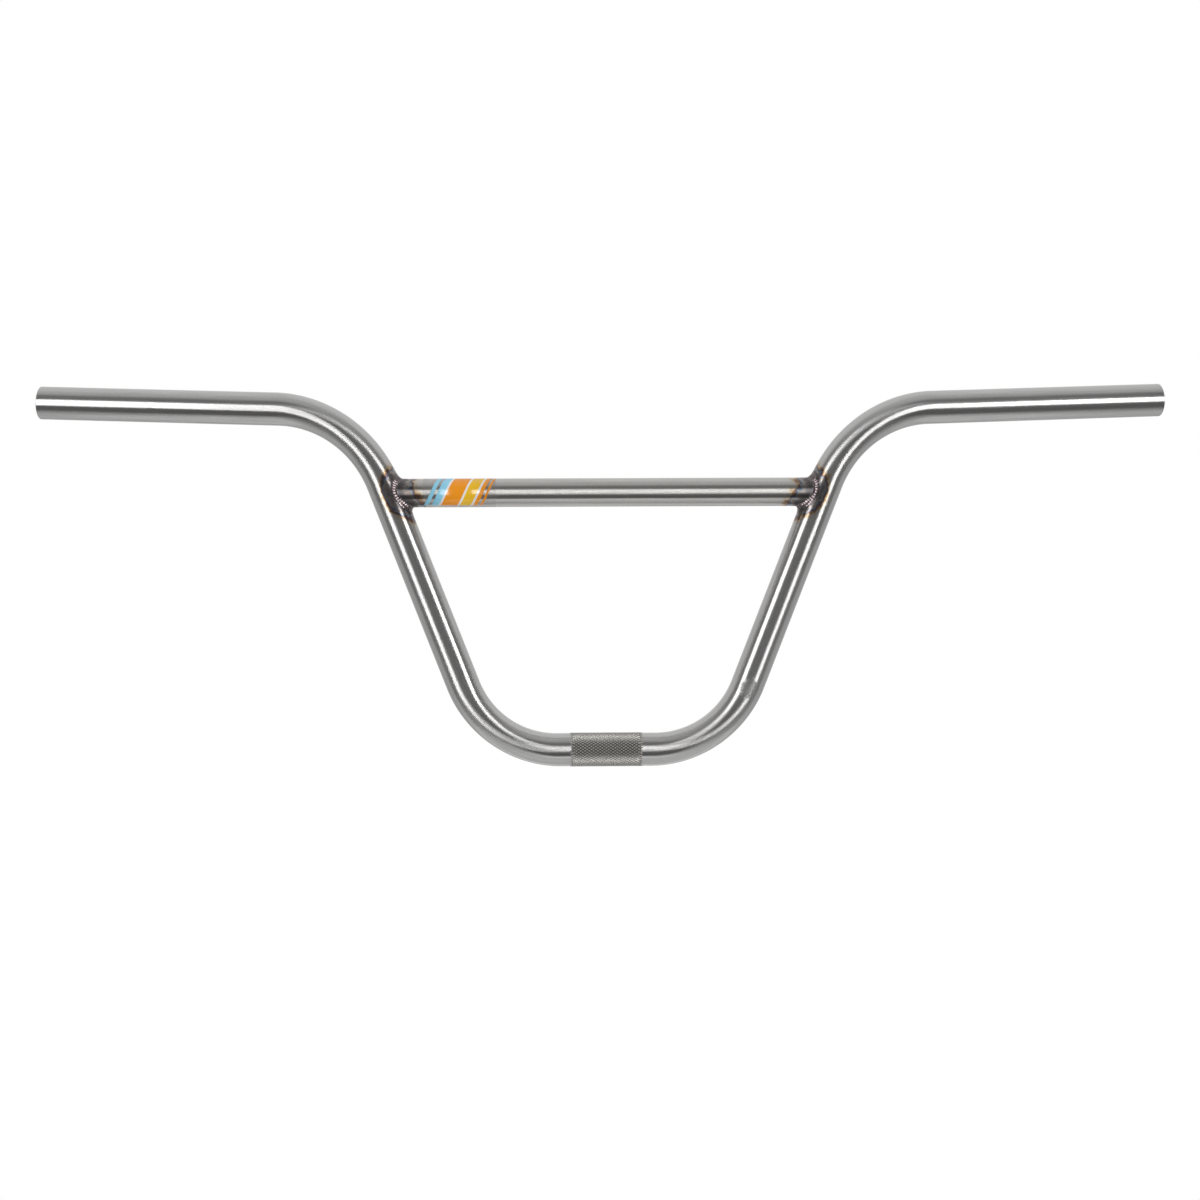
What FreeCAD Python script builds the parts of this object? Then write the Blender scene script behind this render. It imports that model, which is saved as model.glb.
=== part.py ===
import FreeCAD, Part
import math
import os

os.makedirs("parts", exist_ok=True)

# Sizes in millimetres and degrees. The stem clamp's centre is the origin, X runs along the bar,
# Z is up and the grips sweep back to +Y, so the front of the bar faces -Y.
main_diameter = 22.2          # 7/8 inch tube
main_wall = 1.25
clamp_length = 62.2           # straight run between the two lower bends
lower_bend_radius = 68.0
leg_angle = 68.6              # legs above the horizontal, seen from the front
leg_length = 142.0            # straight run of each leg
upper_bend_radius = 79.8
upsweep = 2.0
backsweep = 12.0
grip_length = 164.6           # straight run of each grip
crossbar_diameter = 19.05     # 3/4 inch tube
crossbar_wall = 0.9
crossbar_height = 170.5       # centre of the crossbar above the clamp's centre
vent_diameter = 4.0           # lets gas out of the crossbar while it is welded
weld_leg = 3.6                # how far a weld's toes reach along the leg and the crossbar
weld_rim = 0.35               # height of the bead's edge at its toes
weld_crown = 0.25             # how far the bead's face bulges
weld_sections = 24            # outlines that the bead is drawn through
decal_length = 48.0
decal_wrap = 190.0            # how far round the crossbar the film reaches
decal_thickness = 0.15
decal_glue = 0.03             # adhesive between the film and the crossbar
decal_corner = 3.0
decal_start = 12.0            # bare crossbar between the left leg and the film

main_radius = main_diameter / 2
crossbar_radius = crossbar_diameter / 2
origin = FreeCAD.Vector(0, 0, 0)
x_axis = FreeCAD.Vector(1, 0, 0)


# The bend line of the right half, from the clamp's end to the tip of the grip
leg = math.radians(leg_angle)
up = math.radians(upsweep)
back = math.radians(backsweep)
leg_direction = FreeCAD.Vector(math.cos(leg), 0, math.sin(leg))
grip_direction = FreeCAD.Vector(
    math.cos(up) * math.cos(back), math.cos(up) * math.sin(back), math.sin(up)
)
clamp_end = FreeCAD.Vector(clamp_length / 2, 0, 0)
lower_centre = clamp_end + FreeCAD.Vector(0, 0, lower_bend_radius)
leg_start = lower_centre + FreeCAD.Vector(math.sin(leg), 0, -math.cos(leg)) * lower_bend_radius
leg_end = leg_start + leg_direction * leg_length
upper_axis = leg_direction.cross(grip_direction).normalize()
upper_centre = leg_end + upper_axis.cross(leg_direction) * upper_bend_radius
upper_angle = math.degrees(leg_direction.getAngle(grip_direction))


def section(radius, wall):
    """Face across the tube at the clamp's end: a ring, or a disc where the wall is 0.

    It is turned so that the swept tube's seam runs along the back, away from the crossbar.
    """
    face = Part.Face(Part.Wire(Part.makeCircle(radius, clamp_end, x_axis)))
    if wall:
        hole = Part.Face(Part.Wire(Part.makeCircle(radius - wall, clamp_end, x_axis)))
        face = face.cut(hole).Faces[0]
    face.rotate(clamp_end, x_axis, -90)
    return face


def right_half(face):
    """Carry a section along the right half: lower bend, leg, upper bend and grip."""
    lower_bend = face.revolve(lower_centre, FreeCAD.Vector(0, -1, 0), leg_angle)
    face = face.copy()
    face.rotate(lower_centre, FreeCAD.Vector(0, -1, 0), leg_angle)
    straight_leg = face.extrude(leg_direction * leg_length)
    face.translate(leg_direction * leg_length)
    upper_bend = face.revolve(upper_centre, upper_axis, upper_angle)
    face.rotate(upper_centre, upper_axis, upper_angle)
    grip = face.extrude(grip_direction * grip_length)
    return [lower_bend, straight_leg, upper_bend, grip]


def bent_tube(radius, wall):
    """The whole bent tube: the straight clamp and a right and a left half."""
    face = section(radius, wall)
    halves = right_half(face)
    halves += [piece.mirror(origin, x_axis) for piece in halves]
    clamp = face.extrude(x_axis * -clamp_length)
    return clamp.fuse(halves).removeSplitter()


# The main tube, with a vent drilled through each leg's inner wall where the crossbar covers it
leg_x = leg_start.x + (crossbar_height - leg_start.z) / math.tan(leg)
bar_left = FreeCAD.Vector(-leg_x, 0, crossbar_height)
vents = Part.makeCylinder(vent_diameter / 2, 2 * leg_x, bar_left, x_axis)
main_tube = bent_tube(main_radius, main_wall).cut(vents)
main_solid = bent_tube(main_radius, 0)

# The crossbar, its ends coped to the legs
crossbar_solid = Part.makeCylinder(crossbar_radius, 2 * leg_x, bar_left, x_axis)
crossbar_solid.rotate(bar_left, x_axis, -90)
crossbar_bore = Part.makeCylinder(crossbar_radius - crossbar_wall, 2 * leg_x, bar_left, x_axis)
crossbar_bore.rotate(bar_left, x_axis, -90)
crossbar = crossbar_solid.cut(crossbar_bore).cut(main_solid)

# The fillet welds: each bead is laid in the corner between a leg and the crossbar
def leg_normal(point):
    """Outward normal of the right leg's wall beside a point, and the point's depth in the tube."""
    along = (point - leg_start).dot(leg_direction)
    foot = leg_start + leg_direction * along
    if along > leg_length:
        arm = point - upper_centre
        arm = arm - upper_axis * arm.dot(upper_axis)
        foot = upper_centre + arm.normalize() * upper_bend_radius
    outward = point - foot
    depth = main_radius - outward.Length
    return outward.normalize(), depth


def weld_section(angle):
    """Outline across the bead at an angle round the crossbar, its back sunk in the two tubes."""
    bar_normal = FreeCAD.Vector(0, math.sin(angle), math.cos(angle))
    corner = FreeCAD.Vector(leg_x, 0, crossbar_height) + bar_normal * crossbar_radius
    for step in range(60):
        corner = corner - x_axis * leg_normal(corner)[1]
    normal = leg_normal(corner)[0]
    outward = (bar_normal - normal * normal.dot(bar_normal)).normalize()
    leg_toe = corner + outward * weld_leg
    toe_normal, depth = leg_normal(leg_toe)
    leg_toe = leg_toe + toe_normal * depth
    leg_rim = leg_toe + (toe_normal - outward) * weld_rim
    leg_root = leg_toe - (toe_normal - outward) * weld_rim
    bar_toe = corner - x_axis * weld_leg
    bar_rim = bar_toe + (bar_normal + x_axis) * weld_rim
    bar_root = bar_toe - (bar_normal + x_axis) * weld_rim
    crown = (leg_rim + bar_rim) * 0.5 + (normal + bar_normal).normalize() * weld_crown
    back = corner - (normal + bar_normal).normalize() * weld_leg / 2
    face_of_bead = Part.BSplineCurve()
    face_of_bead.interpolate([leg_rim, crown, bar_rim])
    return Part.Wire(
        [
            Part.makeLine(back, leg_root),
            Part.makeLine(leg_root, leg_rim),
            face_of_bead.toShape(),
            Part.makeLine(bar_rim, bar_root),
            Part.makeLine(bar_root, back),
        ]
    )


sections = [weld_section(2 * math.pi * i / weld_sections) for i in range(weld_sections)]
bead = Part.makeLoft(sections, True, False, True)
right_weld = bead.cut(main_solid).cut(crossbar_solid).Solids[0]
left_weld = right_weld.mirror(origin, x_axis)

# The decal: a thin film wrapped round the front of the crossbar, its corners rounded
film_x = main_radius / math.sin(leg) + decal_start - leg_x
film_face = Part.makePlane(
    decal_length,
    decal_thickness,
    FreeCAD.Vector(film_x, -crossbar_radius - decal_glue, crossbar_height),
    FreeCAD.Vector(0, 0, -1),
    x_axis,
)
film_face.rotate(bar_left, x_axis, -decal_wrap / 2)
decal = film_face.revolve(bar_left, x_axis, decal_wrap)


def corner_waste(x, inward, side):
    """What is trimmed off at one corner: a small block less the round that stays."""
    middle = FreeCAD.Vector(x + inward * decal_corner, 0, crossbar_height - side * decal_corner)
    block = Part.makeBox(decal_corner + 1, 2 * crossbar_radius, decal_corner + 1)
    block.translate(FreeCAD.Vector(-(decal_corner + 1) / 2, -2 * crossbar_radius, -(decal_corner + 1) / 2))
    block.translate(middle + FreeCAD.Vector(-inward, 0, side) * ((decal_corner + 1) / 2))
    round_end = Part.makeCylinder(
        decal_corner, 2 * crossbar_radius, middle, FreeCAD.Vector(0, -1, 0)
    )
    waste = block.cut(round_end)
    waste.rotate(bar_left, x_axis, -side * decal_wrap / 2)
    return waste


for side in (1, -1):
    decal = decal.cut(corner_waste(film_x, 1, side))
    decal = decal.cut(corner_waste(film_x + decal_length, -1, side))

for name, shape in (
    ("main_tube", main_tube),
    ("crossbar", crossbar),
    ("left_weld", left_weld),
    ("right_weld", right_weld),
    ("decal", decal),
):
    shape.exportStep("parts/" + name + ".step")
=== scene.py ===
import math

import bmesh
import bpy
from mathutils import Matrix, Vector
from mathutils.kdtree import KDTree


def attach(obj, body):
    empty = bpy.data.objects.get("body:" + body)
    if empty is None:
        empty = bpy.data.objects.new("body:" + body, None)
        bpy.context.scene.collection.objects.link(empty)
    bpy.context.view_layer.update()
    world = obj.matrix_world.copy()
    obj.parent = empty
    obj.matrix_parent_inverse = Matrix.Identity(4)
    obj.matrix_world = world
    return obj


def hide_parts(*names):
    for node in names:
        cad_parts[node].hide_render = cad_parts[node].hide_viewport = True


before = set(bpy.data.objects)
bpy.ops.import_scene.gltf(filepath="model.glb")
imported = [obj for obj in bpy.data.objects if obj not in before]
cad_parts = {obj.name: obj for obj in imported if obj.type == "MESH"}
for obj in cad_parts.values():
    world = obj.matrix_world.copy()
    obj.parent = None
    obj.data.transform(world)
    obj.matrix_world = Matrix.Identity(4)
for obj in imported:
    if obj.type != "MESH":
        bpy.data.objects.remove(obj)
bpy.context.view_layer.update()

# Main tube: one length of 7/8 inch steel tube, drawn with a thin wall, cut square at both tips and
# cold bent in four places, so its section is a little flattened in each bend. The middle is
# knurled to keep the stem's clamp from slipping. It is left raw under a thin clear coat.
tube_radius = 0.0111
tube_wall = 0.00125
bore_radius = tube_radius - tube_wall
tube_sides = 72
clamp_half = 0.0311
lower_bend_radius = 0.068
leg_angle = math.radians(68.6)
leg_length = 0.142
upper_bend_radius = 0.0798
upsweep = math.radians(2.0)
backsweep = math.radians(12.0)
grip_length = 0.1646
bend_flattening = 0.045
bend_widening = 0.02
knurl_rows = 17
knurl_pitch = 0.00142
knurl_peak = 0.00066
knurl_valley = 0.00026
knurl_flat_percent = 60
knurl_top = knurl_peak - (knurl_peak + knurl_valley) * knurl_flat_percent / 100
knurl_half = knurl_rows * knurl_pitch
knurl_run_out = 0.5
tip_round = 0.0003
tip_round_steps = 2

# How many rings each run has, closer ones near the weld, and a slack for comparing places
heated_length = 0.04
clamp_rings = 3
lower_bend_rings = 28
leg_rings = 6
heated_rings = 20
upper_bend_rings = 44
grip_rings = 8
hair = 1e-5

x_axis = Vector((1, 0, 0))
leg_direction = Vector((math.cos(leg_angle), 0, math.sin(leg_angle)))
grip_direction = Vector(
    (
        math.cos(upsweep) * math.cos(backsweep),
        math.cos(upsweep) * math.sin(backsweep),
        math.sin(upsweep),
    )
)
lower_axis = Vector((0, -1, 0))
lower_arm = Vector((0, 0, -lower_bend_radius))
lower_centre = Vector((clamp_half, 0, 0)) - lower_arm
leg_start = lower_centre + Matrix.Rotation(leg_angle, 3, lower_axis) @ lower_arm
leg_end = leg_start + leg_direction * leg_length
upper_axis = leg_direction.cross(grip_direction).normalized()
upper_arm = -upper_axis.cross(leg_direction) * upper_bend_radius
upper_centre = leg_end - upper_arm
upper_angle = leg_direction.angle(grip_direction)


def about(point, matrix):
    """The matrix, worked about a point."""
    return Matrix.Translation(point) @ matrix @ Matrix.Translation(-point)


def straight_moves(direction, length, count):
    """Steps along a straight run: what moves the ring, how far, and where the tube then points."""
    move = Matrix.Translation(direction * length / count)
    return [(move, length / count, direction)] * count


def bend_moves(centre, arm, axis, angle, direction, count):
    """Steps round a bend. Each ring is squeezed towards the bend's centre and widened across it."""
    moves = []
    turn = about(centre, Matrix.Rotation(angle / count, 4, axis))
    squeezed = widened = 1.0
    for step in range(1, count + 1):
        spread = math.sin(math.pi * step / count)
        squeeze = 1 - bend_flattening * spread
        widen = 1 + bend_widening * spread
        turned = Matrix.Rotation(angle * step / count, 3, axis)
        arm_here = turned @ arm
        flatten = Matrix.Scale(squeeze / squeezed, 4, arm_here.normalized())
        flatten = flatten @ Matrix.Scale(widen / widened, 4, axis)
        squeezed, widened = squeeze, widen
        move = about(centre + arm_here, flatten) @ turn
        moves.append((move, arm.length * angle / count, turned @ direction))
    return moves


def ring_edges(verts):
    """The edges that run round a ring of vertices."""
    ring = set(verts)
    edges = {edge for vert in verts for edge in vert.link_edges}
    return [edge for edge in edges if edge.verts[0] in ring and edge.verts[1] in ring]


def draw_out(bm, ring):
    """Extrude a ring of vertices where it stands, and return the new ring."""
    grown = bmesh.ops.extrude_edge_only(bm, edges=ring_edges(ring))["geom"]
    return [part for part in grown if isinstance(part, bmesh.types.BMVert)]


def start_ring(bm, radius, sides, height):
    """A ring of the tube in the plane X = 0, with the layers that the finish reads."""
    face_x = Matrix.Translation((0, 0, height)) @ Matrix.Rotation(math.pi / 2, 4, "Y")
    ring = bmesh.ops.create_circle(bm, radius=radius, segments=sides, matrix=face_x)["verts"]
    for vert in ring:
        vert[bm.verts.layers.float_vector["unbent"]] = vert.co - Vector((0, 0, height))
        vert[bm.verts.layers.float_vector["tube_axis"]] = x_axis
    return ring


def push_ring(bm, ring, move, length, heading):
    """Draw a ring of the tube out by one step and return the new ring."""
    verts = draw_out(bm, ring)
    bmesh.ops.transform(bm, matrix=move, verts=verts)
    for vert in verts:
        vert[bm.verts.layers.float_vector["unbent"]].x += length
        vert[bm.verts.layers.float_vector["tube_axis"]] = heading
    return verts


def close_rim(bm, outer, inner, sides):
    """Close the wall's end: the outer ring is drawn in and welded to the inner ring, side by side."""
    unbent = bm.verts.layers.float_vector["unbent"]

    def side(vert):
        return round(math.atan2(vert[unbent].y, vert[unbent].z) * sides / (2 * math.pi)) % sides

    inner_side = {side(vert): vert for vert in inner}
    rim = draw_out(bm, outer)
    bmesh.ops.weld_verts(bm, targetmap={vert: inner_side[side(vert)] for vert in rim})
    bmesh.ops.recalc_face_normals(bm, faces=bm.faces)


def new_tube_mesh():
    """An empty mesh with the layers that the finish reads."""
    bm = bmesh.new()
    bm.verts.layers.float_vector.new("unbent")
    bm.verts.layers.float_vector.new("tube_axis")
    bm.verts.layers.float.new("from_weld")
    return bm


def mirror_half(bm):
    """Complete a right half by its mirror image, and turn its layers round too."""
    everything = bm.verts[:] + bm.edges[:] + bm.faces[:]
    bmesh.ops.mirror(bm, geom=everything, merge_dist=hair, axis="X")
    for vert in bm.verts:
        if vert.co.x < -hair:
            vert[bm.verts.layers.float_vector["unbent"]].x *= -1
            vert[bm.verts.layers.float_vector["tube_axis"]].x *= -1
    bmesh.ops.recalc_face_normals(bm, faces=bm.faces)


def set_down(bm, name, materials):
    """Make the mesh an object at the origin."""
    mesh = bpy.data.meshes.new(name)
    bm.to_mesh(mesh)
    bm.free()
    for material in materials:
        mesh.materials.append(material)
    piece = bpy.data.objects.new(name, mesh)
    bpy.context.scene.collection.objects.link(piece)
    return piece


# How far a place is from the corner between the crossbar and its leg, for the colours that the
# heat left. The two legs took it a little differently, and less of it reached their outer sides:
# the heat values multiply the distance, so a larger one brings the colours closer to the weld.
crossbar_radius = 0.009525
crossbar_height = 0.1705
right_leg_heat = 1.06
left_leg_heat = 0.97
outer_side_heat = 0.5
corner_points = 120


def leg_x(height):
    """Where the right leg's middle line is at that height."""
    return leg_start.x + (height - leg_start.z) / math.tan(leg_angle)


def corner_x(y, z, sink):
    """Where a line along X at that height and depth meets the right leg's wall, or sinks into it."""
    reach = math.sqrt(max((tube_radius - sink) ** 2 - y**2, 0))
    return leg_x(z) - reach / math.sin(leg_angle)


def corner_frame(angle):
    """The right corner at an angle round the crossbar, both walls' normals and the way up the leg."""
    bar_normal = Vector((0, math.sin(angle), math.cos(angle)))
    place = Vector((0, 0, crossbar_height)) + bar_normal * crossbar_radius
    place.x = corner_x(place.y, place.z, 0)
    foot = leg_start + leg_direction * (place - leg_start).dot(leg_direction)
    leg_normal = (place - foot).normalized()
    up_leg = (bar_normal - leg_normal * leg_normal.dot(bar_normal)).normalized()
    return place, bar_normal, leg_normal, up_leg


corner_tree = KDTree(corner_points)
for index in range(corner_points):
    corner_tree.insert(corner_frame(2 * math.pi * index / corner_points)[0], index)
corner_tree.balance()


def weld_distance(point):
    """Distance from the corner, on either side of the bar."""
    return corner_tree.find((abs(point.x), point.y, point.z))[2]


bent = new_tube_mesh()
half_moves = straight_moves(x_axis, clamp_half - knurl_half, clamp_rings)
half_moves += bend_moves(
    lower_centre, lower_arm, lower_axis, leg_angle, x_axis, lower_bend_rings
)
half_moves += straight_moves(leg_direction, leg_length - heated_length, leg_rings)
half_moves += straight_moves(leg_direction, heated_length, heated_rings)
half_moves += bend_moves(
    upper_centre, upper_arm, upper_axis, upper_angle, leg_direction, upper_bend_rings
)
half_moves += straight_moves(grip_direction, grip_length - 2 * tip_round, grip_rings)
half_moves += straight_moves(grip_direction, 2 * tip_round, 1)

outer = start_ring(bent, tube_radius, tube_sides, 0)
knurled = [outer]
for move in straight_moves(x_axis, knurl_half, knurl_rows):
    outer = push_ring(bent, outer, *move)
    knurled.append(outer)
for move in half_moves:
    outer = push_ring(bent, outer, *move)
inner = start_ring(bent, bore_radius, tube_sides, 0)
inner = push_ring(bent, inner, *straight_moves(x_axis, knurl_half, 1)[0])
for move in half_moves:
    inner = push_ring(bent, inner, *move)
close_rim(bent, outer, inner, tube_sides)
bmesh.ops.bevel(
    bent,
    geom=ring_edges(outer) + ring_edges(inner),
    offset=tip_round,
    segments=tip_round_steps,
    profile=0.5,
    affect="EDGES",
    material=-1,
)


# The knurl: a rolled tool presses two crossing sets of grooves, which leaves flat-topped diamonds
def out_from_clamp(place):
    """How far a place is from the middle line of the stem clamp."""
    return math.hypot(place.y, place.z)


def is_peak(vert):
    """Whether a vertex of the knurl is a peak. Peaks and valleys take turns, along it and round it."""
    row = round(abs(vert.co.x) / knurl_pitch)
    side = round(math.atan2(vert.co.y, vert.co.z) * tube_sides / (2 * math.pi))
    return (row + side) % 2 == 0


for row, ring in enumerate(knurled[:-1]):
    fade = knurl_run_out if row == knurl_rows - 1 else 1.0
    for vert in ring:
        lift = knurl_peak if is_peak(vert) else -knurl_valley
        vert.co += Vector((0, vert.co.y, vert.co.z)).normalized() * lift * fade
mirror_half(bent)
outside = tube_radius - 2 * knurl_valley
near_clamp = [vert for vert in bent.verts if abs(vert.co.x) < knurl_half + hair]
knurl_verts = [vert for vert in near_clamp if out_from_clamp(vert.co) > outside]
peaks = [vert for vert in knurl_verts if is_peak(vert) and abs(vert.co.x) < knurl_half - hair]
bmesh.ops.connect_verts(bent, verts=[vert for vert in knurl_verts if not is_peak(vert)])
bmesh.ops.bevel(
    bent,
    geom=peaks,
    offset=knurl_flat_percent,
    offset_type="PERCENT",
    segments=1,
    profile=0.5,
    affect="VERTICES",
    material=-1,
)

# Which of the tube's three finishes a face has, and how far it is from the weld
drawn_index = 0
knurl_index = 1
bore_index = 2
unbent = bent.verts.layers.float_vector["unbent"]
from_weld = bent.verts.layers.float["from_weld"]
for face in bent.faces:
    middle = face.calc_center_median()
    knurled_face = abs(middle.x) < knurl_half and out_from_clamp(middle) > outside
    face.smooth = not knurled_face
    face.material_index = drawn_index
    if knurled_face and any(out_from_clamp(vert.co) > tube_radius + hair for vert in face.verts):
        face.material_index = knurl_index
    if all(vert[unbent].yz.length < bore_radius + hair for vert in face.verts):
        face.material_index = bore_index
for vert in bent.verts:
    spread = right_leg_heat if vert.co.x > 0 else left_leg_heat
    past_leg = abs(vert.co.x) - leg_x(vert.co.z)
    spread += outer_side_heat * max(past_leg, 0) / tube_radius
    vert[from_weld] = weld_distance(vert.co) * spread


def add_node(tree, kind, place, **values):
    """A node with its inputs or properties set. A value that is a socket is linked."""
    node = tree.nodes.new("ShaderNode" + kind)
    node.location = place
    for key, value in values.items():
        numbered = key.startswith("in_")
        socket = node.inputs[int(key[3:])] if numbered else node.inputs.get(key.title())
        if isinstance(value, bpy.types.NodeSocket):
            tree.links.new(value, socket)
        elif socket and not hasattr(node, key):
            socket.default_value = value
        else:
            setattr(node, key, value)
    return node


def set_values(node, values):
    """Set a node's plain inputs by name."""
    for label, value in values.items():
        node.inputs[label].default_value = value


def new_group(name, inputs, outputs):
    """An empty shader node group with named sockets."""
    group = bpy.data.node_groups.new(name, "ShaderNodeTree")
    for label, kind in inputs:
        group.interface.new_socket(label, in_out="INPUT", socket_type="NodeSocket" + kind)
    for label, kind in outputs:
        group.interface.new_socket(label, in_out="OUTPUT", socket_type="NodeSocket" + kind)
    entry = group.nodes.new("NodeGroupInput")
    entry.location = (-900, 0)
    leave = group.nodes.new("NodeGroupOutput")
    leave.location = (900, 0)
    return group, entry.outputs, leave.inputs


def noise(tree, place, vector, stretch, detail):
    """Noise stretched along the tube: stretch is its cells per metre along the tube and across it."""
    cells = add_node(tree, "Mapping", place, vector=vector)
    set_values(cells, {"Scale": stretch})
    texture = add_node(tree, "TexNoise", (place[0] + 200, place[1]), vector=cells.outputs["Vector"])
    set_values(texture, {"Scale": 1.0, "Detail": detail})
    return texture.outputs["Fac"]


def blend_values(tree, place, operation, first, second):
    """A Math node of two values."""
    return add_node(tree, "Math", place, operation=operation, in_0=first, in_1=second).outputs[0]


def multiply_add(tree, place, value, factor, added):
    """A Math node: the value times a factor, and something added."""
    node = add_node(
        tree, "Math", place, operation="MULTIPLY_ADD", in_0=value, in_1=factor, in_2=added
    )
    return node.outputs[0]


def map_range(tree, place, value, low, high, to_low=0.0, to_high=1.0):
    """A Map Range node, which takes low to to_low and high to to_high and holds there."""
    node = add_node(tree, "MapRange", place, value=value)
    set_values(node, {"From Min": low, "From Max": high, "To Min": to_low, "To Max": to_high})
    return node.outputs[0]


def length_of(tree, place, vector):
    """A vector's length."""
    return add_node(tree, "VectorMath", place, operation="LENGTH", in_0=vector).outputs["Value"]


def colour_ramp(tree, place, value, stops, interpolation="LINEAR"):
    """A colour ramp with these stops."""
    node = add_node(tree, "ValToRGB", place, fac=value)
    ramp = node.color_ramp
    ramp.interpolation = interpolation
    ramp.elements[0].position, ramp.elements[0].color = stops[0]
    ramp.elements[1].position, ramp.elements[1].color = stops[-1]
    for position, colour in stops[1:-1]:
        ramp.elements.new(position).color = colour
    return node


# Raw tube's surface: faint lines along the tube from the drawing die, finer marks across it from the
# polishing belt, a mottled grain, and small matt flecks and scuffs from handling
finish, finish_in, finish_out = new_group(
    "drawn_finish",
    [("Along Tube", "Vector"), ("Steel", "Color"), ("Gloss", "Float"), ("Scuffed", "Float")],
    [("Color", "Color"), ("Roughness", "Float"), ("Height", "Float"), ("Clear Coat", "Float")],
)
# Flecks: how many cells a metre holds along the tube and across it, the share of cells left bare,
# and the largest fleck and its soft edge as shares of a cell
fleck_cells = (70, 125, 125)
fleck_bare = 0.6
fleck_largest = 0.11
fleck_edge = 0.03
matt_roughness = 0.42
grain_roughness = 0.16
scratch_height = 60.0
along_tube = finish_in["Along Tube"]
draw_lines = noise(finish, (-600, 300), along_tube, (30, 1500, 1500), 3)
belt_marks = noise(finish, (-600, 0), along_tube, (2200, 260, 260), 2)
grain = noise(finish, (-600, -300), along_tube, (1400, 1400, 1400), 3)
lines_and_grain = blend_values(finish, (-100, 200), "ADD", draw_lines, grain)
tone = map_range(finish, (100, 200), lines_and_grain, 0.6, 1.4, 0.8, 1.2)
toned = add_node(finish, "VectorMath", (300, 200), operation="SCALE", in_0=finish_in["Steel"])
finish.links.new(tone, toned.inputs["Scale"])
finish.links.new(toned.outputs[0], finish_out["Color"])
uneven = multiply_add(finish, (100, -100), grain, grain_roughness, -grain_roughness / 2)
rough = blend_values(finish, (300, -100), "ADD", uneven, finish_in["Gloss"])
fleck_map = add_node(finish, "Mapping", (-300, -600), vector=along_tube)
set_values(fleck_map, {"Scale": fleck_cells})
flecks = add_node(finish, "TexVoronoi", (-100, -600), vector=fleck_map.outputs["Vector"])
set_values(flecks, {"Scale": 1.0})
fleck_out = flecks.outputs["Distance"]
fleck_pick = add_node(finish, "SeparateXYZ", (100, -800), vector=flecks.outputs["Color"])
fleck_size = map_range(
    finish, (300, -800), fleck_pick.outputs["X"], fleck_bare, 1.0, 0.0, fleck_largest
)
fleck_inside = blend_values(finish, (500, -800), "SUBTRACT", fleck_size, fleck_out)
fleck = map_range(finish, (100, -600), fleck_inside, 0.0, fleck_edge)
marked = blend_values(finish, (300, -600), "MAXIMUM", fleck, finish_in["Scuffed"])
worn = multiply_add(finish, (500, -400), marked, matt_roughness, rough)
finish.links.new(worn, finish_out["Roughness"])
coated = blend_values(finish, (500, -600), "SUBTRACT", 1.0, marked)
finish.links.new(coated, finish_out["Clear Coat"])
belt_and_grain = blend_values(finish, (100, -300), "ADD", belt_marks, grain)
drawn = blend_values(finish, (300, -300), "ADD", belt_and_grain, draw_lines)
scratches = noise(finish, (-600, -1000), along_tube, (1400, 500, 500), 2)
scratched = blend_values(finish, (100, -1000), "MULTIPLY", scratches, finish_in["Scuffed"])
height = multiply_add(finish, (500, -200), scratched, scratch_height, drawn)
finish.links.new(height, finish_out["Height"])

# Heat colours: the oxide film that welding leaves, from grey-violet beside the bead out to straw
heat, heat_in, heat_out = new_group(
    "heat_colours",
    [("From Weld", "Float"), ("Place", "Vector"), ("Steel", "Color")],
    [("Color", "Color"), ("Scaled", "Float")],
)
heat_reach = 0.018
heat_wander = 0.007
scale_full = 0.22
scale_ends = 0.36
heat_stops = (
    (0.02, (0.225, 0.205, 0.218, 1.0)),
    (0.12, (0.18, 0.182, 0.195, 1.0)),
    (0.19, (0.24, 0.203, 0.185, 1.0)),
    (0.25, (0.2, 0.197, 0.222, 1.0)),
    (0.31, (0.27, 0.228, 0.213, 1.0)),
    (0.36, (0.33, 0.28, 0.25, 1.0)),
    (0.40, (0.26, 0.3, 0.33, 1.0)),
    (0.44, (0.13, 0.16, 0.22, 1.0)),
    (0.48, (0.12, 0.09, 0.115, 1.0)),
    (0.53, (0.24, 0.135, 0.08, 1.0)),
    (0.58, (0.45, 0.31, 0.17, 0.95)),
    (0.64, (0.53, 0.45, 0.34, 0.7)),
    (0.74, (0.57, 0.53, 0.47, 0.3)),
    (0.88, (0.57, 0.56, 0.55, 0.0)),
)
wander = noise(heat, (-600, -200), heat_in["Place"], (300, 300, 300), 1)
shifted = multiply_add(heat, (-200, -200), wander, heat_wander, -heat_wander / 2)
distance = blend_values(heat, (0, 0), "ADD", heat_in["From Weld"], shifted)
share = blend_values(heat, (150, 0), "DIVIDE", distance, heat_reach)
colours = colour_ramp(heat, (300, 0), share, heat_stops)
tinted = add_node(heat, "Mix", (600, 0), data_type="RGBA")
heat.links.new(colours.outputs["Alpha"], tinted.inputs["Factor"])
heat.links.new(heat_in["Steel"], tinted.inputs[6])
heat.links.new(colours.outputs["Color"], tinted.inputs[7])
heat.links.new(tinted.outputs[2], heat_out["Color"])
scaled = map_range(heat, (300, -300), share, scale_ends, scale_full)
heat.links.new(scaled, heat_out["Scaled"])


def new_material(name):
    """A material with only its Principled shader and output."""
    material = bpy.data.materials.new(name)
    material.use_nodes = True
    return material, material.node_tree, material.node_tree.nodes["Principled BSDF"]


# Depth of the drawn lines, and what the scale beside a weld does to the gloss and the clear coat
drawn_depth = 0.000008
scale_roughness = 0.2
scale_burns_coat = 0.7


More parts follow.
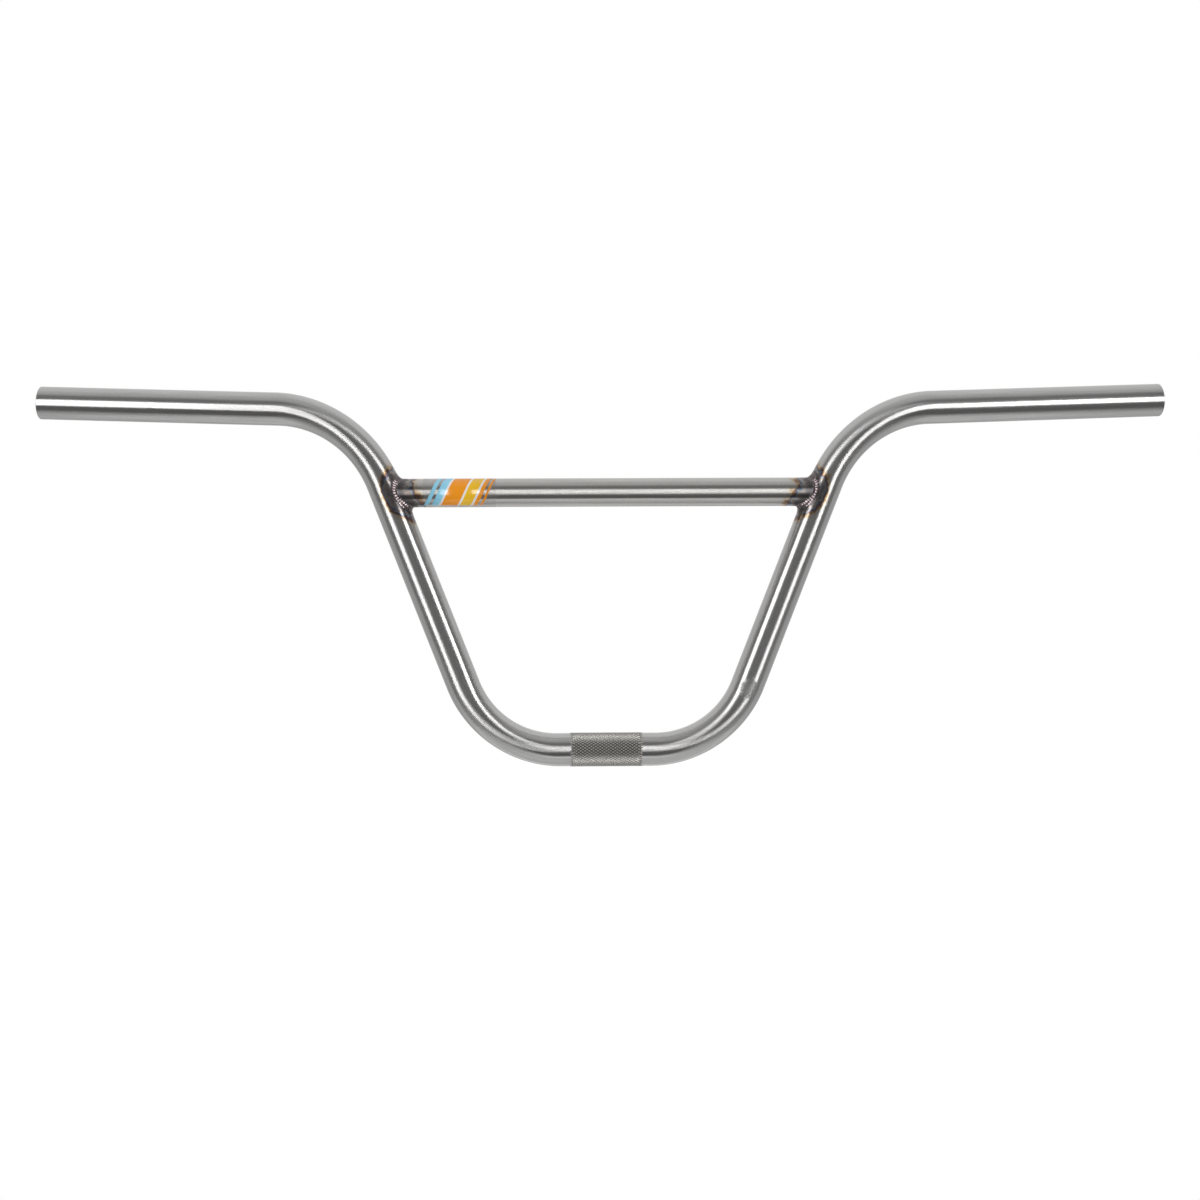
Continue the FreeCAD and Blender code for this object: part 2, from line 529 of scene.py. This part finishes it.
def raw_steel(name, colour, gloss):
    """Raw drawn tube with heat colours near the welds."""
    material, tree, shader = new_material(name)
    unbent = add_node(tree, "Attribute", (-1100, 100), attribute_name="unbent")
    surface = tree.nodes.new("ShaderNodeGroup")
    surface.name = "surface"
    surface.node_tree = finish
    set_values(surface, {"Steel": colour, "Gloss": gloss})
    tree.links.new(unbent.outputs["Vector"], surface.inputs["Along Tube"])
    from_weld = add_node(tree, "Attribute", (-1100, -200), attribute_name="from_weld")
    place = add_node(tree, "TexCoord", (-1100, -400))
    heated = tree.nodes.new("ShaderNodeGroup")
    heated.node_tree = heat
    tree.links.new(from_weld.outputs["Fac"], heated.inputs["From Weld"])
    tree.links.new(place.outputs["Object"], heated.inputs["Place"])
    tree.links.new(surface.outputs["Color"], heated.inputs["Steel"])
    tree.links.new(heated.outputs["Color"], shader.inputs["Base Color"])
    scale = heated.outputs["Scaled"]
    dulled = multiply_add(tree, (-300, -100), scale, scale_roughness, surface.outputs["Roughness"])
    tree.links.new(dulled, shader.inputs["Roughness"])
    bump = add_node(tree, "Bump", (-300, -400), height=surface.outputs["Height"])
    set_values(bump, {"Distance": drawn_depth})
    tree.links.new(bump.outputs["Normal"], shader.inputs["Normal"])
    axis = add_node(tree, "Attribute", (-500, -600), attribute_name="tube_axis")
    tree.links.new(axis.outputs["Vector"], shader.inputs["Tangent"])
    unburnt = multiply_add(tree, (-500, -200), scale, -scale_burns_coat, 1.0)
    coat = blend_values(tree, (-300, -250), "MULTIPLY", surface.outputs["Clear Coat"], unburnt)
    tree.links.new(coat, shader.inputs["Coat Weight"])
    set_values(shader, {"Metallic": 1.0, "Anisotropic": 1.0, "Coat Roughness": 0.07})
    return material


tube_steel = raw_steel("raw_steel", (0.58, 0.575, 0.57, 1.0), 0.34)
tube_tree = tube_steel.node_tree

# A scuff on the front of the right leg, just above its lower bend: where it is along the unbent
# tube, and how far it reaches along it and round it
scuff_place = Vector((0.110, -tube_radius, -0.0003))
scuff_reach = Vector((0.0068, 0.006, 0.0047))
scuff_full = 1.3
scuff_ends = 1.6
scuff_unbent = add_node(tube_tree, "Attribute", (-1900, 500), attribute_name="unbent")
scuff_map = add_node(tube_tree, "Mapping", (-1700, 500), vector=scuff_unbent.outputs["Vector"])
scuff_shift = [-at / reach for at, reach in zip(scuff_place, scuff_reach)]
set_values(scuff_map, {"Location": scuff_shift, "Scale": [1 / reach for reach in scuff_reach]})
scuff_out = length_of(tube_tree, (-1500, 500), scuff_map.outputs["Vector"])
scuff_hatch = noise(tube_tree, (-1900, 200), scuff_unbent.outputs["Vector"], (900, 300, 300), 3)
scuff_edge = blend_values(tube_tree, (-1300, 500), "ADD", scuff_out, scuff_hatch)
scuffed = map_range(tube_tree, (-1300, 300), scuff_edge, scuff_ends, scuff_full)
tube_tree.links.new(scuffed, tube_tree.nodes["surface"].inputs["Scuffed"])

# The knurl: painted shade darkens its flanks by depth down into the grooves, from steel colour on its
# flats, and random grime noise varies the tone
knurl_grime_share = 0.3
# Painted shade: darkest at the groove floor, steel colour on the flats
knurl_shade_stops = (
    (0.2, (0.17, 0.163, 0.15, 1.0)),
    (0.8, (0.38, 0.365, 0.34, 1.0)),
    (0.97, (0.62, 0.61, 0.585, 1.0)),
)
knurl_steel, knurl_tree, knurl_shader = new_material("knurled_steel")
knurl_place = add_node(knurl_tree, "TexCoord", (-1300, 0)).outputs["Object"]
knurl_flat = add_node(
    knurl_tree, "VectorMath", (-1100, 0), operation="MULTIPLY", in_0=knurl_place, in_1=(0, 1, 1)
)
knurl_out = length_of(knurl_tree, (-900, 0), knurl_flat.outputs["Vector"])
groove_floor = tube_radius - knurl_valley
# How deep a place lies below the flats, which darkens it as painted shade
knurl_depth_shade = map_range(knurl_tree, (-700, 0), knurl_out, groove_floor, tube_radius + knurl_top)
grime = noise(knurl_tree, (-1100, -300), knurl_place, (700, 700, 700), 4)
worn_off = multiply_add(
    knurl_tree, (-700, -300), grime, knurl_grime_share, -knurl_grime_share / 2
)
# Painted shade by depth, with random grime noise added
knurl_shade_and_grime = blend_values(knurl_tree, (-500, 0), "ADD", knurl_depth_shade, worn_off)
knurl_shaded_colour = colour_ramp(knurl_tree, (-300, 0), knurl_shade_and_grime, knurl_shade_stops)
knurl_tree.links.new(knurl_shaded_colour.outputs["Color"], knurl_shader.inputs["Base Color"])
set_values(knurl_shader, {"Metallic": 1.0, "Roughness": 0.45})

# The bore is as the tube mill left it, under dull dark scale
bore_stops = (
    (0.35, (0.04, 0.036, 0.033, 1.0)),
    (0.7, (0.1, 0.091, 0.083, 1.0)),
)
bore_steel, bore_tree, bore_shader = new_material("bore_steel")
bore_unbent = add_node(bore_tree, "Attribute", (-900, 0), attribute_name="unbent")
bore_film = noise(bore_tree, (-700, 0), bore_unbent.outputs["Vector"], (120, 400, 400), 4)
bore_colour = colour_ramp(bore_tree, (-300, 0), bore_film, bore_stops)
bore_tree.links.new(bore_colour.outputs["Color"], bore_shader.inputs["Base Color"])
set_values(bore_shader, {"Roughness": 0.65, "Specular IOR Level": 0.25})

bent_tube = set_down(bent, "bent_tube", [tube_steel, knurl_steel, bore_steel])
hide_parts("main_tube")
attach(bent_tube, "root")

# Crossbar: a straight length of 3/4 inch steel tube between the legs. Its ends are coped, cut to
# the round of the legs, so that they sit close all round before they are welded.
crossbar_wall = 0.0009
crossbar_sides = 72
crossbar_rings = 8
crossbar_heat = 0.94
cope_from = 0.108
cope_rings = 22
cope_sink = 0.0002
cope_edge = 0.7


def crossbar_half(bm, radius):
    """The right half of one wall of the crossbar, out to its coped end. Returns the end's ring."""
    ring = start_ring(bm, radius, crossbar_sides, crossbar_height)
    for move in straight_moves(x_axis, cope_from, crossbar_rings):
        ring = push_ring(bm, ring, *move)
    for step in range(cope_rings):
        ring = push_ring(bm, ring, Matrix(), 0, x_axis)
        for vert in ring:
            end = corner_x(vert.co.y, vert.co.z, cope_sink)
            vert.co.x += (end - vert.co.x) / (cope_rings - step)
            vert[bm.verts.layers.float_vector["unbent"]].x = vert.co.x
    return ring


def shade_smooth(bm, sharp_angle):
    """Shade a mesh smooth, apart from edges that turn by more than that angle."""
    for face in bm.faces:
        face.smooth = True
    for edge in bm.edges:
        edge.smooth = edge.calc_face_angle(0) <= sharp_angle


straight = new_tube_mesh()
coped_outside = crossbar_half(straight, crossbar_radius)
coped_inside = crossbar_half(straight, crossbar_radius - crossbar_wall)
close_rim(straight, coped_outside, coped_inside, crossbar_sides)
mirror_half(straight)
shade_smooth(straight, cope_edge)
for vert in straight.verts:
    vert[straight.verts.layers.float["from_weld"]] = weld_distance(vert.co) * crossbar_heat
crossbar_steel = raw_steel("raw_steel_crossbar", (0.59, 0.575, 0.552, 1.0), 0.34)
cross_tube = set_down(straight, "cross_tube", [crossbar_steel])
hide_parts("crossbar")
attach(cross_tube, "root")

# Welds: each end of the crossbar is joined to its leg by a fillet weld laid by hand, one puddle at a
# time, so its face is a row of overlapping ripples. It reaches further above and below the crossbar
# than in front of it and behind. The metal is left as welded.
bead_on_bar = 0.003
bead_on_bar_side = 0.0019
bead_on_leg = 0.0046
bead_on_leg_side = 0.0038
bead_hollow = 0.9
bead_hollow_side = 0.6

# How far the toes and the root sink into the walls, and the least metal over them in between
bead_sink = 0.0002
bead_root = 0.0008
bead_cover = 0.0002

bead_rows = 14
ripples = 42
steps_per_ripple = 9
ripple_height = 0.00022
ripple_bow = 0.5
ripple_lean = 0.7
bead_fullness = 0.6
bead_edge = 1.3
weld_stops = (
    (0.36, (0.13, 0.114, 0.124, 1.0)),
    (0.62, (0.29, 0.237, 0.236, 1.0)),
)


def round_bar(angle, above, beside):
    """A size of the bead, which goes from one value above the crossbar to another in front of it."""
    return above + (beside - above) * abs(math.sin(angle))


def leg_foot(point):
    """The nearest place on the leg's middle line, in the start of its upper bend too."""
    along = (point - leg_end).dot(leg_direction)
    if along <= 0:
        return leg_end + leg_direction * along
    arm = point - upper_centre
    arm -= upper_axis * arm.dot(upper_axis)
    return upper_centre + arm.normalized() * upper_bend_radius


def push_out(point, foot, radius):
    """The point, moved straight out from its foot on a tube's middle line, to the radius at least."""
    out = point - foot
    return foot + out.normalized() * max(out.length, radius)


def bead_point(angle, across):
    """A place on the bead's face: across runs from 0, the toe on the crossbar, to 1, on the leg."""
    corner, bar_normal, leg_normal, up_leg = corner_frame(angle)
    bar_toe = corner - x_axis * round_bar(angle, bead_on_bar, bead_on_bar_side)
    bar_toe -= bar_normal * bead_sink
    leg_toe = corner + up_leg * round_bar(angle, bead_on_leg, bead_on_leg_side)
    foot = leg_foot(leg_toe)
    leg_toe = foot + (leg_toe - foot).normalized() * (tube_radius - bead_sink)
    hollow = round_bar(angle, bead_hollow, bead_hollow_side)
    pull = ((bar_toe + leg_toe) / 2).lerp(corner, hollow)
    face = bar_toe.lerp(pull, across).lerp(pull.lerp(leg_toe, across), across)
    rise = math.sin(math.pi * across) ** bead_fullness
    least = bead_cover * rise - bead_sink * (1 - rise)
    face = push_out(face, leg_foot(face), tube_radius + least)
    face = push_out(face, Vector((face.x, 0, crossbar_height)), crossbar_radius + least)
    phase = angle * ripples / (2 * math.pi) + ripple_bow * 4 * across * (1 - across)
    ripple = math.sin(math.pi * (phase % 1.0) ** ripple_lean) - 0.5
    return face + (bar_normal + leg_normal).normalized() * ripple_height * ripple * rise


weld_metal, weld_tree, weld_shader = new_material("weld_metal")
weld_place = add_node(weld_tree, "TexCoord", (-900, 0))
weld_scale = noise(weld_tree, (-700, 0), weld_place.outputs["Object"], (600, 600, 600), 3)
weld_colour = colour_ramp(weld_tree, (-300, 0), weld_scale, weld_stops)
weld_tree.links.new(weld_colour.outputs["Color"], weld_shader.inputs["Base Color"])
set_values(weld_shader, {"Metallic": 1.0, "Roughness": 0.24})

for side, name, node in ((1, "right_bead", "right_weld"), (-1, "left_bead", "left_weld")):
    bead = bmesh.new()
    angles = bead.verts.layers.float.new("angle")
    bead_sides = ripples * steps_per_ripple
    ring = bmesh.ops.create_circle(bead, radius=1, segments=bead_sides)["verts"]
    for vert in ring:
        vert[angles] = math.atan2(vert.co.y, vert.co.x)
    for row in range(bead_rows + 3):
        if row:
            ring = draw_out(bead, ring)
        for vert in ring:
            if 1 <= row <= bead_rows + 1:
                vert.co = bead_point(vert[angles], (row - 1) / bead_rows)
            else:
                corner, bar_normal, leg_normal, up_leg = corner_frame(vert[angles])
                vert.co = corner - (bar_normal + leg_normal).normalized() * bead_root
            vert.co.x *= side
    bmesh.ops.remove_doubles(bead, verts=bead.verts, dist=hair / 100)
    bmesh.ops.recalc_face_normals(bead, faces=bead.faces)
    shade_smooth(bead, bead_edge)
    bead_piece = set_down(bead, name, [weld_metal])
    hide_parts(node)
    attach(bead_piece, "root")

# Decal: a clear vinyl film, printed with slanted bars and stuck round the front of the crossbar
# beside its left end. The corners are cut round.
film_start = -0.12038
film_length = 0.048
film_wrap = math.radians(190)
film_glue = 0.00003
film_radius = crossbar_radius + film_glue
film_thickness = 0.00015
film_corner = 0.003
film_corner_steps = 6
film_steps = 48
film_haze = 0.06
print_low = -0.0095
print_high = 0.0125
print_slant = 0.45

film = bmesh.new()
bar_middle = Vector((0, 0, crossbar_height))
low = Vector((0, -film_radius, crossbar_height))
low = about(bar_middle, Matrix.Rotation(film_wrap / 2, 4, "X")) @ low
left = film.verts.new((film_start, low.y, low.z))
right = film.verts.new((film_start + film_length, low.y, low.z))
edge = film.edges.new((left, right))
bmesh.ops.spin(
    film,
    geom=[left, right, edge],
    cent=bar_middle,
    axis=(-1, 0, 0),
    angle=film_wrap,
    steps=film_steps,
)
corners = [vert for vert in film.verts if len(vert.link_edges) == 2]
bmesh.ops.bevel(
    film,
    geom=corners,
    offset=film_corner,
    segments=film_corner_steps,
    profile=0.5,
    affect="VERTICES",
    material=-1,
)
bmesh.ops.recalc_face_normals(film, faces=film.faces)
for face in film.faces:
    face.smooth = True
    outward = face.calc_center_median() - bar_middle
    outward.x = 0
    if face.normal.dot(outward) < 0:
        face.normal_flip()
bmesh.ops.solidify(film, geom=film.faces[:], thickness=-film_thickness)
bmesh.ops.recalc_face_normals(film, faces=film.faces)

sky = (0.33, 0.75, 0.97, 1.0)
white = (0.94, 0.94, 0.94, 1.0)
orange = (1.0, 0.35, 0.01, 1.0)
gold = (1.0, 0.59, 0.02, 1.0)
clear = (0.45, 0.44, 0.43, 0.0)
bar_stops = (
    (0.0, clear),
    (0.10, sky),
    (0.16, clear),
    (0.20, sky),
    (0.30, white),
    (0.33, orange),
    (0.56, white),
    (0.59, gold),
    (0.74, white),
    (0.77, orange),
    (0.83, clear),
    (0.87, orange),
    (0.90, clear),
)
film_print, film_tree, film_shader = new_material("decal_film")
film_place = add_node(film_tree, "TexCoord", (-1500, 0))
film_parts = add_node(film_tree, "SeparateXYZ", (-1300, 0), vector=film_place.outputs["Object"])
film_x, film_y, film_z = film_parts.outputs
film_up = blend_values(film_tree, (-1100, -200), "SUBTRACT", film_z, crossbar_height)
film_front = blend_values(film_tree, (-1100, -400), "MULTIPLY", film_y, -1.0)
film_angle = blend_values(film_tree, (-900, -300), "ARCTAN2", film_up, film_front)
film_rise = blend_values(film_tree, (-700, -300), "MULTIPLY", film_angle, film_radius)
film_slant = multiply_add(film_tree, (-700, 0), film_rise, -print_slant, film_x)
film_end = film_start + film_length
film_along = map_range(film_tree, (-500, 0), film_slant, film_start, film_end)
film_bars = colour_ramp(film_tree, (-300, 0), film_along, bar_stops, "CONSTANT")
film_tree.links.new(film_bars.outputs["Color"], film_shader.inputs["Base Color"])
film_over = blend_values(film_tree, (-300, -300), "GREATER_THAN", film_rise, print_low)
film_under = blend_values(film_tree, (-300, -500), "LESS_THAN", film_rise, print_high)
film_band = blend_values(film_tree, (-100, -400), "MULTIPLY", film_over, film_under)
film_inked = blend_values(
    film_tree, (100, -200), "MULTIPLY", film_band, film_bars.outputs["Alpha"]
)
film_opaque = map_range(film_tree, (300, -200), film_inked, 0.0, 1.0, film_haze)
film_tree.links.new(film_opaque, film_shader.inputs["Alpha"])
set_values(film_shader, {"Roughness": 0.24, "Coat Weight": 0.4, "Coat Roughness": 0.08})
printed_film = set_down(film, "printed_film", [film_print])
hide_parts("decal")
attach(printed_film, "root")

# Floor: a pale matt table top well under the bar. Its rim fades into the white background.
floor_height = -0.6
floor_back = 0.04
floor_radius = 0.7
floor_fade_from = 0.35
floor_fade_to = 0.64
floor_least_white = 0.08
floor_mesh = bmesh.new()
bmesh.ops.create_circle(
    floor_mesh,
    cap_ends=True,
    radius=floor_radius,
    segments=96,
    matrix=Matrix.Translation((0, floor_back, floor_height)),
)
floor_paper, floor_tree, floor_shader = new_material("floor_paper")
set_values(
    floor_shader,
    {"Base Color": (0.8, 0.8, 0.8, 1.0), "Roughness": 0.9, "Specular IOR Level": 0.1},
)


def soft_step(tree, place, value, low, high, to_low, to_high):
    """A Map Range node with soft ends."""
    step = map_range(tree, place, value, low, high, to_low, to_high)
    step.node.interpolation_type = "SMOOTHSTEP"
    return step


floor_place = add_node(floor_tree, "TexCoord", (-900, 300))
floor_middle = add_node(floor_tree, "Mapping", (-700, 300), vector=floor_place.outputs["Object"])
set_values(floor_middle, {"Location": (0, -floor_back, -floor_height)})
floor_out = length_of(floor_tree, (-500, 300), floor_middle.outputs["Vector"])
floor_fade = soft_step(
    floor_tree, (-300, 300), floor_out, floor_fade_from, floor_fade_to, floor_least_white, 1.0
)
floor_rays = add_node(floor_tree, "LightPath", (-900, 600)).outputs
floor_seen = blend_values(
    floor_tree, (-600, 600), "MAXIMUM", floor_rays["Is Camera Ray"], floor_rays["Is Glossy Ray"]
)
floor_seen = blend_values(
    floor_tree, (-400, 600), "MAXIMUM", floor_seen, floor_rays["Is Transmission Ray"]
)
floor_white = blend_values(floor_tree, (-100, 400), "MULTIPLY", floor_seen, floor_fade)
floor_glow = add_node(floor_tree, "Emission", (100, 500))
floor_mix = add_node(floor_tree, "MixShader", (300, 300), in_0=floor_white)
floor_tree.links.new(floor_shader.outputs[0], floor_mix.inputs[1])
floor_tree.links.new(floor_glow.outputs[0], floor_mix.inputs[2])
floor_tree.links.new(floor_mix.outputs[0], floor_tree.nodes["Material Output"].inputs["Surface"])
table_top = set_down(floor_mesh, "table_top", [floor_paper])

# Studio: a white backdrop behind the bar, grey walls and ceiling round it, a dim room in front and
# two soft boxes that stand each side of the camera.
room_front_level = 0.163
room_wall_level = 0.56
room_ceiling_level = 0.43
room_low_share = 0.82
room_high_share = 1.35
studio = bpy.data.worlds.new("studio")
bpy.context.scene.world = studio
studio.use_nodes = True
room = studio.node_tree
room_light = room.nodes["Background"]
room_way = add_node(room, "TexCoord", (-1100, 0))
room_parts = add_node(room, "SeparateXYZ", (-900, 0), vector=room_way.outputs["Generated"])
back = room_parts.outputs["Y"]
up = room_parts.outputs["Z"]
backdrop = soft_step(room, (-600, 200), back, 0.88, 0.97, 0.0, 1.0)
surround = soft_step(room, (-600, 0), back, -0.4, 0.16, 0.0, room_wall_level)
ceiling = soft_step(room, (-600, -100), up, 0.62, 0.9, 0.0, room_ceiling_level)
overhead = map_range(room, (-600, -250), up, -0.3, 0.7, room_low_share, room_high_share)
room_level = blend_values(room, (-500, 0), "MAXIMUM", surround, room_front_level)
room_level = blend_values(room, (-450, 0), "MAXIMUM", room_level, ceiling)
room_level = blend_values(room, (-350, -100), "MULTIPLY", room_level, overhead)
room_level = blend_values(room, (-200, 100), "MAXIMUM", room_level, backdrop)
room_rays = add_node(room, "LightPath", (-1100, 400)).outputs
room_seen = blend_values(
    room, (-800, 400), "MAXIMUM", room_rays["Is Glossy Ray"], room_rays["Is Transmission Ray"]
)
room_seen = blend_values(room, (-600, 400), "MULTIPLY", room_seen, backdrop)
room_white = blend_values(room, (-400, 400), "MAXIMUM", room_seen, room_rays["Is Camera Ray"])
room_strength = add_node(room, "Mix", (-100, 200), data_type="FLOAT", factor=room_white)
room.links.new(room_level, room_strength.inputs[2])
room_strength.inputs[3].default_value = 1.0
room.links.new(room_strength.outputs[0], room_light.inputs["Strength"])
set_values(room_light, {"Color": (1.0, 1.0, 1.0, 1.0)})

# Each soft box: degrees to the right of straight ahead, degrees up, width, height and brightness
soft_boxes = (
    (-45, 5, 1.5, 2.4, 6.0),
    (46.5, 7, 1.4, 1.7, 7.8),
)
box_distance = 3.9
box_aim = Vector((0, 0, 0.12))
for turned, raised, box_width, box_height, box_level in soft_boxes:
    turn = Matrix.Rotation(math.radians(turned), 3, "Z")
    raise_up = Matrix.Rotation(-math.radians(raised), 3, "X")
    way = turn @ raise_up @ Vector((0, -1, 0))
    box = bpy.data.lights.new("soft_box", "AREA")
    box.shape = "RECTANGLE"
    box.size = box_width
    box.size_y = box_height
    box.energy = math.pi * box_width * box_height * box_level
    lamp = bpy.data.objects.new("soft_box", box)
    lamp.location = box_aim + way * box_distance
    lamp.rotation_euler = way.to_track_quat("Z", "Y").to_euler()
    bpy.context.scene.collection.objects.link(lamp)

# Camera: level with the crossbar, straight in front and just left of the middle, with a long lens
# that looks slightly down.
eye = Vector((-0.0566, -1.8983, 0.1588))
look_turn = math.radians(1.597)
look_down = math.radians(1.797)
look_roll = math.radians(-0.211)
forward = Vector(
    (
        math.sin(look_turn) * math.cos(look_down),
        math.cos(look_turn) * math.cos(look_down),
        -math.sin(look_down),
    )
)
level = Vector((math.cos(look_turn), -math.sin(look_turn), 0))
upright = level.cross(forward)
sideways = level * math.cos(look_roll) + upright * math.sin(look_roll)
upwards = upright * math.cos(look_roll) - level * math.sin(look_roll)
lens = bpy.data.cameras.new("camera")
lens.lens = 86
lens.sensor_width = 36
camera = bpy.data.objects.new("camera", lens)
camera.matrix_world = Matrix.Translation(eye) @ Matrix(
    (
        (sideways.x, upwards.x, -forward.x, 0),
        (sideways.y, upwards.y, -forward.y, 0),
        (sideways.z, upwards.z, -forward.z, 0),
        (0, 0, 0, 1),
    )
)
bpy.context.scene.collection.objects.link(camera)
bpy.context.scene.camera = camera
bpy.context.scene.view_settings.view_transform = "Standard"
